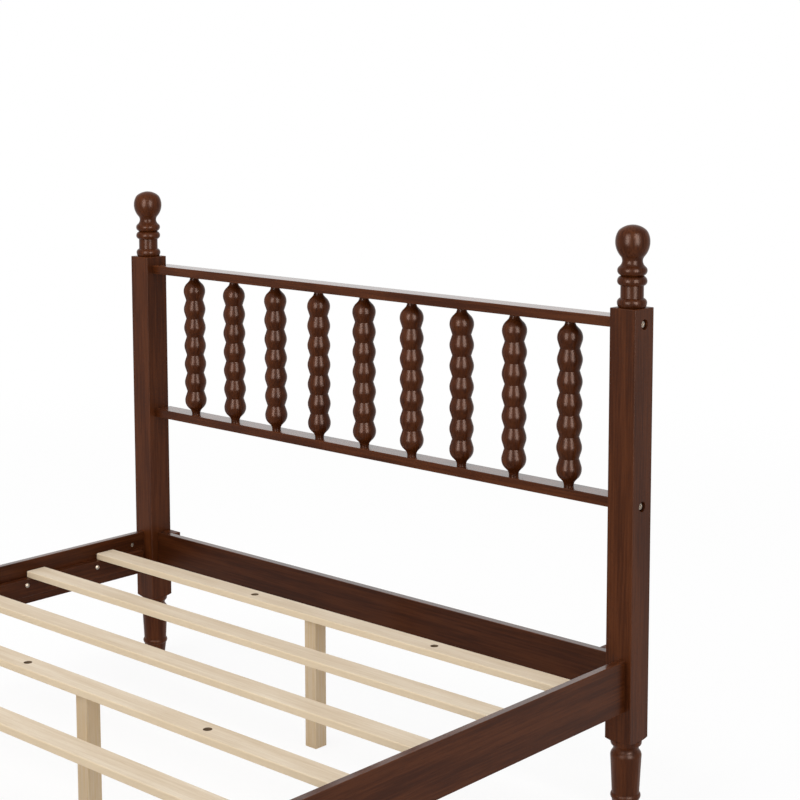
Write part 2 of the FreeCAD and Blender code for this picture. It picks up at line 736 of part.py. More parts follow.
# Check every object, then write each sub-part to its own file
doc.recompute()
broken = [item.Label for item in doc.Objects if {"Invalid", "Error"} & set(item.State)]
broken += [node.Label for node in nodes if node.Shape.isNull() or not node.Shape.isValid()]
if broken:
    raise RuntimeError(f"these objects failed: {broken}")
os.makedirs("parts", exist_ok=True)
for node in nodes:
    node.Shape.exportStep(f"parts/{node.Label}.step")
    print(f"{node.Label}: {len(node.Shape.Solids)} solids, {node.Shape.Volume / 1000:.1f} cm3")
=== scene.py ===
# %% [markdown]
# A platform bed, dressed for its picture
#
# The bed is dark stained wood with a row of beaded spindles at the head and pale slats between its rails.
# The CAD model already has every board and turned piece in its place, in metres. This lesson gives each of
# them a finish, replaces spindles, screws, bolts and nuts by finer ones, and sets up a studio round the
# bed.

# %% Load the frame
import math

import bmesh
import bpy
import numpy as np
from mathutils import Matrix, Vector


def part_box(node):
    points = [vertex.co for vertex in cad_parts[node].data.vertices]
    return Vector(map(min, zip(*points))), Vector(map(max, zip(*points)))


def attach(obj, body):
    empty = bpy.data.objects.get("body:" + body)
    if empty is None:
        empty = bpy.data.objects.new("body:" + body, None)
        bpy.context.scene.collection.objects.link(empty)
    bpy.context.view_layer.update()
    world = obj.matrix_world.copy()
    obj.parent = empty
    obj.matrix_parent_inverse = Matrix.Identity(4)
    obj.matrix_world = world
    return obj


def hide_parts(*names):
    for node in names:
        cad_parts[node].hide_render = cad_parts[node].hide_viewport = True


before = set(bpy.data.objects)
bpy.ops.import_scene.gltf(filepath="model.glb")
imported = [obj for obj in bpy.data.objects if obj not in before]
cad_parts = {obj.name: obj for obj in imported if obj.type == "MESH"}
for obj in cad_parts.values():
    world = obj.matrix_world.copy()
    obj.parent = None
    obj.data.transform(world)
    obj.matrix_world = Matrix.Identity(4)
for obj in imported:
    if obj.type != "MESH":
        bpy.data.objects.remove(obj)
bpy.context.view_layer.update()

# %% [markdown]
# Which way the grain runs
#
# A joiner cuts each board with the grain along its length, so a rail's grain runs along the rail and a
# post's runs upward. Sorting the pieces by their names gives every board its direction, and the finishes
# below only have to be told X, Y or Z. Writing a direction for each piece by hand would also work, but is
# easily wrong.

# %% Sort the pieces by wood and grain
WALNUT_GRAIN = {
    "post": "Z",
    "finial": "Z",
    "spindle": "Z",
    "corner_block": "Z",
    "top_rail": "X",
    "lower_rail": "X",
    "panel": "X",
    "side_rail": "Y",
    "cleat": "Y",
}
DOWEL_GRAIN = {"head_rail_dowels": "X", "side_rail_dowels": "Y", "slat_pins": "Z"}
STEEL_WORDS = ("bolts", "inserts", "screws", "nuts", "studs")


def grain_of(node):
    """Finds the grain direction of a walnut piece by the word in its name, or None for other pieces."""
    if node in DOWEL_GRAIN or node.endswith(STEEL_WORDS):
        return None
    found = [axis for word, axis in WALNUT_GRAIN.items() if word in node]
    return found[0] if found else None


walnut_pieces = {node: grain_of(node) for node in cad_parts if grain_of(node)}
slats = sorted(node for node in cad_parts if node.startswith("slat_") and node[-1].isdigit())
legs = sorted(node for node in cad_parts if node.startswith("support_leg_") and node[-1].isdigit())
steel_pieces = [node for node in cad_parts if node.endswith(STEEL_WORDS)]
print(len(walnut_pieces), "walnut pieces,", len(slats), "slats,", len(legs), "middle legs,",
      len(DOWEL_GRAIN), "groups of dowels and", len(steel_pieces), "groups of steel fasteners")

# %% [markdown]
# Shader sums as plain arithmetic
#
# A finish is a tree of nodes, and its patterns are sums and products of noise. Wiring each Math node by
# hand is slow to read, so a small class stands for one socket and turns +, - and * into Math nodes. One
# method adds any other node: its settings are set first, then its sockets.


# %% A socket that can be added and multiplied
class Wire:
    """One output socket of a material, so that shader sums read like arithmetic."""

    def __init__(self, tree, socket=None):
        self.tree = tree
        self.socket = socket

    def make(self, kind, sockets=None, output=0, **settings):
        """Adds a node, sets its settings, then gives its sockets their values or links."""
        node = self.tree.nodes.new(kind)
        for name, setting in settings.items():
            setattr(node, name, setting)
        for key, given in (sockets or {}).items():
            if isinstance(given, Wire):
                self.tree.links.new(given.socket, node.inputs[key])
            else:
                node.inputs[key].default_value = given
        return Wire(self.tree, node.outputs[output])

    def math(self, operation, first, second):
        """Adds one Math node."""
        return self.make("ShaderNodeMath", {0: first, 1: second}, operation=operation)

    def vector(self, operation, *operands, output="Vector"):
        """Adds one Vector Math node."""
        return self.make("ShaderNodeVectorMath", dict(enumerate(operands)), output, operation=operation)

    def __add__(self, other):
        return self.math("ADD", self, other)

    __radd__ = __add__

    def __mul__(self, other):
        return self.math("MULTIPLY", self, other)

    __rmul__ = __mul__

    def __sub__(self, other):
        return self.math("SUBTRACT", self, other)

    def __rsub__(self, other):
        return self.math("SUBTRACT", other, self)

    def least(self, other):
        """The smaller of two values."""
        return self.math("MINIMUM", self, other)

    def most(self, other):
        """The larger of two values."""
        return self.math("MAXIMUM", self, other)

    def fade(self, start, end):
        """Goes smoothly from 0 where the value is at start to 1 where it is at end."""
        if start > end:
            return 1 - self.fade(end, start)
        return self.make("ShaderNodeMapRange", {"Value": self, "From Min": start, "From Max": end},
                         interpolation_type="SMOOTHSTEP")

    def ramp(self, stops):
        """Turns the value into a colour: each stop is a position and the colour there."""
        wire = self.make("ShaderNodeValToRGB", {0: self})
        elements = wire.socket.node.color_ramp.elements
        for position, _ in stops[1:-1]:
            elements.new(position)
        for element, (position, colour) in zip(elements, stops):
            element.position = position
            element.color = (*colour, 1)
        return wire

    def toward(self, colour, other):
        """Uses the value as a mask that goes from a wired colour to a plain one."""
        return self.make("ShaderNodeMix", {0: self, 6: colour, 7: (*other, 1)}, output=2, data_type="RGBA")

    def noise(self, scale, detail, roughness=0.55):
        """Gives cloudy noise at a place."""
        return self.make("ShaderNodeTexNoise", {"Vector": self, "Scale": scale, "Detail": detail,
                                                "Roughness": roughness})


# %% [markdown]
# What every finish starts and ends with
#
# Each finish begins with a surface shader, its constant sockets and the place on the piece. It ends with
# the same three wires: colour, roughness and a fine relief. The place is in object coordinates, which are
# the bed's own metres here, so the sizes in the patterns below are real ones.


# %% Start a finish, wire it, and put it on a piece
def new_finish(name, constants):
    """Starts a material: gives it, its shader with the constant sockets set, and the place on the piece."""
    material = bpy.data.materials.new(name)
    material.use_nodes = True
    tree = material.node_tree
    shader = tree.nodes["Principled BSDF"]
    for socket, number in constants.items():
        shader.inputs[socket].default_value = number
    return material, shader, Wire(tree).make("ShaderNodeTexCoord", output="Object")


def feed(shader, colour, roughness, height, depth, strength):
    """Wires a finish: colour, roughness, and a bump of the given depth in metres."""
    tree = colour.tree
    bump = colour.make("ShaderNodeBump", {"Strength": strength, "Distance": depth, "Height": height})
    tree.links.new(colour.socket, shader.inputs["Base Color"])
    tree.links.new(roughness.socket, shader.inputs["Roughness"])
    tree.links.new(bump.socket, shader.inputs["Normal"])


def dress(node, material):
    """Puts a finish on a CAD piece, in place of what it came with."""
    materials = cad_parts[node].data.materials
    materials.clear()
    materials.append(material)


# %% [markdown]
# The lines of the wood
#
# Wood is a bundle of fibres, so its pattern changes quickly across the grain and slowly along it. Noise on
# coordinates that are squeezed along the grain draws out into long lines. Three sizes of it are used: wide
# bands from the growth rings, fine fibres, and short dark pores. An image of wood could be wrapped round
# each board, but it would have to be unwrapped, and lines would break at the edges; noise in space runs
# through.

# %% Bands, fibres and pores
BAND_SQUEEZE = 0.07
BAND_WAVE = {"Scale": 11.0, "Distortion": 7.0, "Detail": 3.0, "Detail Scale": 1.4}
FIBRE_SQUEEZE = 0.035
FIBRE_NOISE = {"scale": 230.0, "detail": 4.0, "roughness": 0.6}
PORE_SQUEEZE = 0.06
PORE_NOISE = {"scale": 900.0, "detail": 1.0}
PORE_LEVELS = (0.60, 0.72)


def drawn_out(place, axis, squeeze):
    """Squeezes coordinates along the grain, so that noise on them becomes lines along it."""
    scale = [squeeze if letter == axis else 1.0 for letter in "XYZ"]
    return place.make("ShaderNodeMapping", {"Vector": place, "Scale": scale})


def wood_lines(place, axis):
    """Gives three patterns from 0 to 1: growth bands, fine fibres and short pores, all along one axis."""
    rings = drawn_out(place, axis, BAND_SQUEEZE)
    bands = rings.make("ShaderNodeTexWave", {"Vector": rings, **BAND_WAVE}, output="Fac",
                       wave_type="BANDS", bands_direction="DIAGONAL", wave_profile="SIN")
    fibres = drawn_out(place, axis, FIBRE_SQUEEZE).noise(**FIBRE_NOISE)
    pores = drawn_out(place, axis, PORE_SQUEEZE).noise(**PORE_NOISE).fade(*PORE_LEVELS)
    return bands, fibres, pores


# %% [markdown]
# Where hands and rags wear a finish
#
# Stain is wiped on: a rag takes it off the sharp edges of a board, which end up lighter and duller. The
# hollows of a turned piece are coloured darker. Both can be told from the place alone. On a board, a
# point lies near an edge when two of its three distances to the board's faces are small, so the middle one
# of the three is the measure. On a turned piece the distance from its axis tells beads from hollows. A
# third mask, for tops, only needs the direction that the surface faces.


# %% Masks for edges, hollows and tops
def middle_of(node):
    """Gives the middle of a piece's box and half its size."""
    low, high = (np.array(corner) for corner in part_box(node))
    return (low + high) / 2, (high - low) / 2


def edge_of_board(place, node, width):
    """A mask that is 1 on the edges of a board and 0 further in than the width."""
    centre, half = middle_of(node)
    reach = place.vector("ABSOLUTE", place.vector("SUBTRACT", place, centre))
    inset = place.vector("SUBTRACT", half, reach)
    across, along, up = (inset.make("ShaderNodeSeparateXYZ", {0: inset}, output=letter) for letter in "XYZ")
    middle_one = across.least(along).most(across.most(along).least(up))
    return middle_one.fade(width, 0.0)


def axis_distance(place, at):
    """The distance from an upright axis through a point."""
    offset = place.vector("SUBTRACT", place, at)
    flat = place.vector("MULTIPLY", offset, (1, 1, 0))
    return place.vector("LENGTH", flat, output="Value")


def hollow_of_turning(place, node, narrow, wide):
    """A mask that is 1 in the hollows of an upright turned piece and 0 on its beads."""
    return axis_distance(place, middle_of(node)[0]).fade(wide, narrow)


def looks_up(place, steep, level):
    """A mask that is 0 where the surface is steep and 1 where it faces up, by the height of its normal."""
    normal = place.make("ShaderNodeNewGeometry", output="Normal")
    return normal.make("ShaderNodeSeparateXYZ", {0: normal}, output="Z").fade(steep, level)


# %% [markdown]
# Walnut stain under satin lacquer
#
# The bed's wood is stained a dark red brown and lacquered. Sprayed lacquer runs off upright faces and lies
# thicker on those that face up, so the tops of the rails mirror the white room, while fronts stay deep
# brown. The stain is a ramp from dark to light over bands, fibres and a slow cloudiness, with pores a
# little darker. The thicker lacquer is a coat, laid only where the surface looks up; a coat all over would
# make fronts grey. End grain drinks lacquer, so the tops of the upright posts get none. Boards come from
# different planks, and the pattern is moved on by a piece's own place, so no two boards match. Some boards
# are coloured darker: on the panel, the cleats and the left side rail this is painted shade, as they sit
# low and between other parts; on the spindles and the right side rail it is their plank's darker tone.

# %% Stain and lacquer in numbers
STAIN_DARK = (0.049, 0.0115, 0.0026)
STAIN_MIDDLE = (0.068, 0.0168, 0.0038)
STAIN_LIGHT = (0.090, 0.0240, 0.0062)
STAIN_PORE = (0.031, 0.0070, 0.0018)
STAIN_RUBBED = (0.100, 0.0260, 0.0055)
STAIN_STOPS = ((0.39, STAIN_DARK), (0.49, STAIN_MIDDLE), (0.60, STAIN_LIGHT))
STAIN_CLOUD = {"scale": 5.0, "detail": 2.0}
BAND_SHARE = 0.12
FIBRE_SHARE = 0.66
CLOUD_SHARE = 0.22
PORE_SHARE = 0.40
PORE_SINK = 0.6
PLANK_JUMP = 2.3
# Darker boards: painted shade on the panel, cleats and left side rail, a plank's tone on spindles and right
# rail
BOARD_TONE_AND_SHADE = {
    "spindle": 0.95,
    "panel": 0.69,
    "cleat": 0.80,
    "side_rail_left": 0.86,
    "side_rail_right": 0.93,
}

LACQUER = {"IOR": 1.18, "Coat IOR": 1.31, "Coat Roughness": 0.16}
COAT_SLOPES = (0.72, 0.96)

TURNED_RADII = {"spindle": (0.0195, 0.0240), "finial": (0.0195, 0.0275)}
HOLLOW_SHARE = 0.35
TURNED_ROUGHNESS = 0.26
TURNED_FIBRES_ROUGHEN = 0.03
TURNED_RELIEF = {"depth": 0.0001, "strength": 0.02}

RUBBED_WIDTH = 0.0030
RUBBED_SHARE = 0.45
RUBBED_PATCHES = (0.35, 0.60)
BOARD_ROUGHNESS = 0.31
BOARD_FIBRES_ROUGHEN = 0.08
BOARD_PORES_ROUGHEN = 0.06
RUBBING_ROUGHENS = 0.22
BOARD_RELIEF = {"depth": 0.0002, "strength": 0.25}


# %% The walnut finish
def walnut(node, axis):
    """Makes the stained and lacquered finish of one piece."""
    material, shader, place = new_finish(f"walnut_{node}", LACQUER)
    plank = place.make("ShaderNodeMapping", {"Vector": place, "Location": PLANK_JUMP * middle_of(node)[0]})
    bands, fibres, pores = wood_lines(plank, axis)
    cloud = plank.noise(**STAIN_CLOUD)
    tone = BAND_SHARE * bands + FIBRE_SHARE * fibres + CLOUD_SHARE * cloud
    # some boards darker: painted shade on the panel, cleats and left rail, plank tone on the others
    shade = min([share for word, share in BOARD_TONE_AND_SHADE.items() if word in node], default=1.0)
    stain = tone.ramp([(position, shade * np.array(colour)) for position, colour in STAIN_STOPS])
    colour = (PORE_SHARE * pores).toward(stain, STAIN_PORE)
    relief = fibres - PORE_SINK * pores
    turned = [radii for word, radii in TURNED_RADII.items() if word in node]
    if turned:
        hollow = hollow_of_turning(place, node, *turned[0])
        colour = (HOLLOW_SHARE * hollow).toward(colour, STAIN_DARK)
        feed(shader, colour, TURNED_ROUGHNESS + TURNED_FIBRES_ROUGHEN * fibres, relief, **TURNED_RELIEF)
    else:
        edge = edge_of_board(place, node, RUBBED_WIDTH)
        colour = (RUBBED_SHARE * edge * cloud.fade(*RUBBED_PATCHES)).toward(colour, STAIN_RUBBED)
        roughness = BOARD_ROUGHNESS + BOARD_FIBRES_ROUGHEN * fibres + BOARD_PORES_ROUGHEN * pores
        feed(shader, colour, roughness + RUBBING_ROUGHENS * edge, relief, **BOARD_RELIEF)
    if axis != "Z":
        place.tree.links.new(looks_up(place, *COAT_SLOPES).socket, shader.inputs["Coat Weight"])
    return material


for node, axis in walnut_pieces.items():
    dress(node, walnut(node, axis))
print("stained", len(walnut_pieces), "pieces")

# %% [markdown]
# Pale slats and middle legs
#
# The slats and the legs under them are planed, light wood without stain. Their lines are faint. The same
# wood lines are used, only with pale colours that lie close together, and a matt surface. A lighter, warmer
# colour is painted along the eased edges as a painted highlight, and on the slats' narrow sides as painted
# light. The walls of the holes are painted dark as painted shade, and the legs come from a yellower board.

# %% Pale wood in numbers
PALE_DARK = (0.545, 0.430, 0.297)
PALE_MIDDLE = (0.611, 0.502, 0.371)
PALE_LIGHT = (0.667, 0.569, 0.441)
PALE_LINE = (0.47, 0.335, 0.195)
# painted highlight along the eased edges
PALE_EDGE_HIGHLIGHT = (0.735, 0.615, 0.435)
# painted light on the slats' narrow upright sides
PALE_SIDE_LIGHT = (0.736, 0.594, 0.408)
# painted shade on the walls of the holes
PALE_HOLE_SHADE = (0.14, 0.085, 0.040)
PALE_STOPS = ((0.32, PALE_DARK), (0.50, PALE_MIDDLE), (0.66, PALE_LIGHT))
PALE_CLOUD = {"scale": 6.0, "detail": 2.0}
PALE_BAND_SHARE = 0.12
PALE_FIBRE_SHARE = 0.64
PALE_CLOUD_SHARE = 0.24
PALE_LINE_SHARE = 0.30
PALE_PORE_SINK = 0.5
PALE_ROUGHNESS = 0.52
PALE_FIBRES_ROUGHEN = 0.14
PALE_RELIEF = {"depth": 0.0003, "strength": 0.3}
# width and strength of the painted highlight along the eased edges
PALE_HIGHLIGHT_WIDTH = 0.0035
PALE_HIGHLIGHT_SHARE = 0.5
# strength and slopes of the painted light on the slats' sides
SIDE_LIGHT_SHARE = 0.8
SIDE_LIGHT_SLOPES = (0.4, 0.9)
LEG_SHADE = (0.55, 0.405, 0.240)
LEG_SHARE = 0.95
LEG_FIBRES = (0.22, 0.66)
BARE_WOOD = {"IOR": 1.35}

# %% The pale finish
BORED_SLATS = ("slat_1", "slat_4", "slat_6", "slat_9")
HOLE_PLACES = (-0.176, 0.345)
HOLE_RADIUS = 0.008
HOLE_WALL_FROM = HOLE_RADIUS + 0.0001
HOLE_WALL_TO = HOLE_RADIUS + 0.0006


def wall_of_hole(place, node):
    """A painted shade mask, 1 on the drilled walls of a slat's two spare holes, by distance from their
    axes.
    """
    centre, _ = middle_of(node)
    first, second = (axis_distance(place, (across, centre[1], 0)) for across in HOLE_PLACES)
    return first.least(second).fade(HOLE_WALL_TO, HOLE_WALL_FROM)


def pale_wood(node, axis):
    """Makes the planed finish of a slat or a middle leg."""
    material, shader, place = new_finish(f"pale_{node}", BARE_WOOD)
    bands, fibres, pores = wood_lines(place, axis)
    cloud = place.noise(**PALE_CLOUD)
    tone = PALE_BAND_SHARE * bands + PALE_FIBRE_SHARE * fibres + PALE_CLOUD_SHARE * cloud
    lined = (PALE_LINE_SHARE * pores).toward(tone.ramp(PALE_STOPS), PALE_LINE)
    # painted highlight along the eased edges
    colour = (PALE_HIGHLIGHT_SHARE * edge_of_board(place, node, PALE_HIGHLIGHT_WIDTH)).toward(lined, PALE_EDGE_HIGHLIGHT)
    if node in legs:
        colour = (LEG_SHARE * fibres.fade(*LEG_FIBRES)).toward(colour, LEG_SHADE)
    else:
        # painted light on the slats' narrow upright sides
        colour = (SIDE_LIGHT_SHARE * (1 - looks_up(place, *SIDE_LIGHT_SLOPES))).toward(colour, PALE_SIDE_LIGHT)
    if node in BORED_SLATS:
        # painted shade on the walls of the spare holes
        colour = wall_of_hole(place, node).toward(colour, PALE_HOLE_SHADE)
    roughness = PALE_ROUGHNESS + PALE_FIBRES_ROUGHEN * fibres
    feed(shader, colour, roughness, fibres - PALE_PORE_SINK * pores, **PALE_RELIEF)
    return material


for node in slats + legs:
    dress(node, pale_wood(node, "X" if node in slats else "Z"))
print("planed", len(slats) + len(legs), "pale pieces")

# %% [markdown]
# Beech dowels and pins
#
# Dowels are plain beech, with short flecks along the grain. They are hidden in their holes, but the bed
# can be taken apart, so they get the same care: one finish for those that lie across, along and upright.

# %% The beech finish
BEECH_DARK = (0.43, 0.265, 0.140)
BEECH_LIGHT = (0.62, 0.430, 0.265)
BEECH_FLECK = (0.30, 0.160, 0.075)
BEECH_STOPS = ((0.35, BEECH_DARK), (0.65, BEECH_LIGHT))
FLECK_SHARE = 0.7
BEECH_ROUGHNESS = 0.50
BEECH_FIBRES_ROUGHEN = 0.15
BEECH_RELIEF = {"depth": 0.0002, "strength": 0.3}


def beech(node, axis):
    """Makes the finish of one group of dowels."""
    material, shader, place = new_finish(f"beech_{node}", BARE_WOOD)
    _, fibres, pores = wood_lines(place, axis)
    colour = (FLECK_SHARE * pores).toward(fibres.ramp(BEECH_STOPS), BEECH_FLECK)
    feed(shader, colour, BEECH_ROUGHNESS + BEECH_FIBRES_ROUGHEN * fibres, fibres, **BEECH_RELIEF)
    return material


for node, axis in DOWEL_GRAIN.items():
    dress(node, beech(node, axis))
print("dowels:", ", ".join(DOWEL_GRAIN))

# %% [markdown]
# Zinc plated steel
#
# Bolts, screws and nuts are steel with a thin bright zinc coat. It is a metal, so its colour lies in its
# reflection. Fine cloudy patches change the shine a little, as on parts plated in a drum.

# %% The zinc finish
ZINC_DARK = (0.20, 0.183, 0.158)
ZINC_LIGHT = (0.35, 0.325, 0.285)
ZINC_STOPS = ((0.0, ZINC_DARK), (1.0, ZINC_LIGHT))
ZINC_PATCHES = {"scale": 700.0, "detail": 3.0}
ZINC_GRIT = {"scale": 5000.0, "detail": 2.0}
ZINC_ROUGHNESS = 0.38
PATCHES_ROUGHEN = 0.16
ZINC_RELIEF = {"depth": 0.00004, "strength": 0.4}


def zinc():
    """Makes the finish of all steel pieces."""
    material, shader, place = new_finish("zinc_plate", {"Metallic": 1.0})
    patches = place.noise(**ZINC_PATCHES)
    roughness = ZINC_ROUGHNESS + PATCHES_ROUGHEN * patches
    feed(shader, patches.ramp(ZINC_STOPS), roughness, place.noise(**ZINC_GRIT), **ZINC_RELIEF)
    return material


zinc_plate = zinc()
for node in steel_pieces:
    dress(node, zinc_plate)
print("zinc plate on", ", ".join(steel_pieces))

# %% [markdown]
# A turned surface in numpy
#
# Spindles, screws and bolts are made on a lathe: a profile runs from one end to the other, and is carried
# round the axis. With the profile as rows and the turn as columns of a grid, the whole surface is a few
# array sums. A screw's drive recess only presses some of the head's points inward, so it needs no cutting.

# %% Carry a profile round an axis
TURN_STEPS = 48
TURN = np.linspace(0, 2 * np.pi, TURN_STEPS, endpoint=False)
EVERY_TURN = np.ones(TURN_STEPS)


def axis_frame(axis):
    """Gives three directions at right angles, the last one along the axis."""
    along = np.array(axis, float)
    first = np.cross(along, (0, 1, 0) if along[2] else (0, 0, 1))
    return first, np.cross(along, first), along


def turned_points(radius, depth, at, axis):
    """A grid of rows and turns: the point at, plus radius times cosine and sine of the turn in the two
    directions across the axis, plus depth along it. Both are columns, or have a value for each turn."""
    first, second, along = axis_frame(axis)
    across = radius * np.cos(TURN)
    upward = radius * np.sin(TURN)
    return np.array(at) + across[..., None] * first + upward[..., None] * second + depth[..., None] * along


# %% Make an object of turned surfaces
MERGE_DISTANCE = 1e-6
SHARP_ANGLE = math.radians(40)


def closed_grid_faces(rows, columns):
    """Joins each point of a grid to its neighbours, with the last column joined to the first."""
    row, column = np.meshgrid(np.arange(rows - 1), np.arange(columns), indexing="ij")
    beside = (column + 1) % columns
    corners = [row * columns + column, row * columns + beside,
               (row + 1) * columns + beside, (row + 1) * columns + column]
    return np.stack(corners, axis=-1).reshape(-1, 4)


def piece_from_grids(name, grids):
    """Makes one object of several turned surfaces, merges points that meet in poles, and smooths it."""
    faces = []
    start = 0
    for grid in grids:
        faces.append(closed_grid_faces(*grid.shape[:2]) + start)
        start += grid.shape[0] * grid.shape[1]
    points = np.concatenate([grid.reshape(-1, 3) for grid in grids])
    mesh = bpy.data.meshes.new(name)
    mesh.from_pydata(points.tolist(), [], np.concatenate(faces).tolist())
    work = bmesh.new()
    work.from_mesh(mesh)
    bmesh.ops.remove_doubles(work, verts=work.verts, dist=MERGE_DISTANCE)
    bmesh.ops.recalc_face_normals(work, faces=work.faces)
    work.to_mesh(mesh)
    work.free()
    mesh.shade_smooth()
    mesh.set_sharp_from_angle(angle=SHARP_ANGLE)
    piece = bpy.data.objects.new(name, mesh)
    bpy.context.scene.collection.objects.link(piece)
    return piece


def stand_in(piece, node, material):
    """Gives a piece its finish and lets it stand for a CAD node."""
    piece.data.materials.append(material)
    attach(piece, "root")
    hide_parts(node)
    print(piece.name, "has", len(piece.data.polygons), "faces")


# %% [markdown]
# Beaded spindles
#
# Each spindle is turned from one stick: seven beads in a row, with a slim neck at both ends that stops on
# a rail, and a tenon that goes into it. A bead has a round belly and tapers straight to a sharp waist,
# where it meets the next one, and that crease cuts each highlight off cleanly. A sine wave would be
# shorter to write, but its waists are soft. The end beads run into their necks by two arcs that meet
# without a kink.

# %% The profiles of neck and beads
BEADS = 7
BEAD_WAIST = 0.0197
BELLY_HALF = 0.0086
TAPER_RADIUS = 0.0239
WAIST_EASE = 0.0006
CURVE_ROWS = 9


def s_curve(start, end, share):
    """Two arcs from start to end, upright at both and meeting without a kink. Their radii add up to
    (run squared + rise squared) / (2 rise), and the share is the first one's part of that sum."""
    rise, run = end - start
    whole = (run ** 2 + rise ** 2) / (2 * rise)
    up = run * np.linspace(0, 1, CURVE_ROWS)
    lower = share * whole - np.sqrt((share * whole) ** 2 - np.minimum(up, share * run) ** 2)
    rest = (1 - share) * whole
    upper = rest - np.sqrt(rest ** 2 - np.minimum(run - up, (1 - share) * run) ** 2)
    return np.where(up < share * run, start[0] + lower, end[0] - upper), start[1] + up


def bead_rows(beads, bead_radius):
    """Radii and heights from the first bead's middle to the last one's: each belly is an arc, whose radius
    is (half its height squared + its drop squared) / (2 drop), and straight tapers join them to waists."""
    drop = bead_radius - TAPER_RADIUS
    arc = (BELLY_HALF ** 2 + drop ** 2) / (2 * drop)
    up = BELLY_HALF * np.linspace(-1, 1, CURVE_ROWS)
    bellies = np.broadcast_to(bead_radius - arc + np.sqrt(arc ** 2 - up ** 2), (BEADS, CURVE_ROWS))
    waists = (beads[1:] + beads[:-1]) / 2
    slope = (TAPER_RADIUS - BEAD_WAIST) / (waists[0] - beads[0] - BELLY_HALF)
    beside = WAIST_EASE * np.array((-1, 0, 1))
    hollows = np.broadcast_to(BEAD_WAIST + slope * np.abs(beside), (BEADS - 1, len(beside)))
    height = np.concatenate([(beads[:, None] + up).ravel(), (waists[:, None] + beside).ravel()])
    radius = np.concatenate([bellies.ravel(), hollows.ravel()])
    order = np.argsort(height)
    inner = order[(height[order] > beads[0]) & (height[order] < beads[-1])]
    return radius[inner], height[inner]


# %% The spindle's surface
NECK_SHARE = 0.37
NECK_RADIUS = 0.0098
NECK_HEIGHT = 0.0015
END_BEAD_HEIGHT = 0.0332
TENON_RADIUS = 0.0080
TENON_LENGTH = 0.0120


def spindle(node):
    """Tenon, neck and S curve up to the first bead, the beads, and the same rows mirrored at the top."""
    low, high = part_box(node)
    centre, half = middle_of(node)
    foot, top = low[2] + TENON_LENGTH, high[2] - TENON_LENGTH
    beads = np.linspace(foot + END_BEAD_HEIGHT, top - END_BEAD_HEIGHT, BEADS)
    neck = np.array((NECK_RADIUS, foot + NECK_HEIGHT))
    neck_radius, neck_height = s_curve(neck, np.array((half[1], beads[0])), NECK_SHARE)
    lower_radius = np.r_[0, TENON_RADIUS, TENON_RADIUS, NECK_RADIUS, neck_radius]
    lower_height = np.r_[low[2], low[2], foot, foot, neck_height]
    bead_radius, bead_height = bead_rows(beads, half[1])
    radius = np.r_[lower_radius, bead_radius, lower_radius[::-1]]
    height = np.r_[lower_height, bead_height, (foot + top - lower_height)[::-1]]
    return turned_points(radius[:, None], height[:, None], (centre[0], centre[1], 0), (0, 0, 1))


for node in sorted(node for node in walnut_pieces if "spindle" in node):
    piece = piece_from_grids(node.replace("head", "beaded"), [spindle(node)])
    stand_in(piece, node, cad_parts[node].data.materials[0])

# %% [markdown]
# Cross head screws
#
# The cleats and corner blocks are held by screws with a domed head and a cross recess. The recess is two
# narrow valleys at a right angle, deepest in the middle, pressed into the dome. Modelling it as a mask
# over the turn angle is simple, and the dome stays smooth between the valleys.

# %% The screw's surface
SCREW_HEAD = 0.0055
SCREW_DOME = 0.0032
SCREW_SHANK = 0.0020
DOME_ROWS = 26
CROSS_WIDTH = 0.0007
CROSS_WALL = 0.5
CROSS_REACH = 0.0030
CROSS_RUNOUT = 0.4
CROSS_DEPTH = 0.0018


def valley(distance, half_width, wall):
    """Is 1 within the half width of a line and falls to 0 in a wall, which is a share of the half width."""
    return np.clip(((1 + wall) * half_width - distance) / (wall * half_width), 0, 1)


def cross_screw(at, axis, reach):
    """A domed screw: the head's depth is minus dome times (1 - radius squared / head squared), plus the
    cross's depth in its two valleys. A shank and a pointed tip follow, with depths from under the head."""
    dome_radius = np.linspace(0, SCREW_HEAD, DOME_ROWS)[:, None]
    dome = -SCREW_DOME * (1 - (dome_radius / SCREW_HEAD) ** 2)
    nearest_arm = np.minimum(np.abs(dome_radius * np.cos(TURN)), np.abs(dome_radius * np.sin(TURN)))
    in_reach = np.clip((CROSS_REACH - dome_radius) / (CROSS_RUNOUT * CROSS_REACH), 0, 1)
    dome = dome + CROSS_DEPTH * valley(nearest_arm, CROSS_WIDTH, CROSS_WALL) * in_reach
    shank_radius = np.array([SCREW_SHANK, SCREW_SHANK, 0.0])[:, None]
    shank_depth = np.array([0.0, reach - 2 * SCREW_SHANK, reach])[:, None]
    radius = np.concatenate([dome_radius, shank_radius])
    depth = np.concatenate([dome, shank_depth * EVERY_TURN])
    return turned_points(radius, depth, at, axis)


# %% [markdown]
# The screws' places
#
# One screw stands beside each slat in both cleats, and two hold each corner block, near its upper and
# lower end. Their places follow from the boxes of cleats, slats and blocks, so nothing is measured twice.

# %% Put the screws in cleats and blocks
SIDES = (("left", -1), ("right", 1))
ENDS = (("head", 1), ("foot", -1))
SCREW_REACH = 0.032
CLEAT_SCREW_AHEAD = 0.009
CLEAT_SCREW_DROP = 0.014
BLOCK_SCREW_EDGE = 0.014

cleat_grids = []
for side, outward in SIDES:
    low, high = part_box(f"slat_cleat_{side}")
    inner_face = high[0] if outward < 0 else low[0]
    for slat in slats:
        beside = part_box(slat)[0][1] - CLEAT_SCREW_AHEAD
        at = (inner_face, beside, high[2] - CLEAT_SCREW_DROP)
        cleat_grids.append(cross_screw(at, (outward, 0, 0), SCREW_REACH))

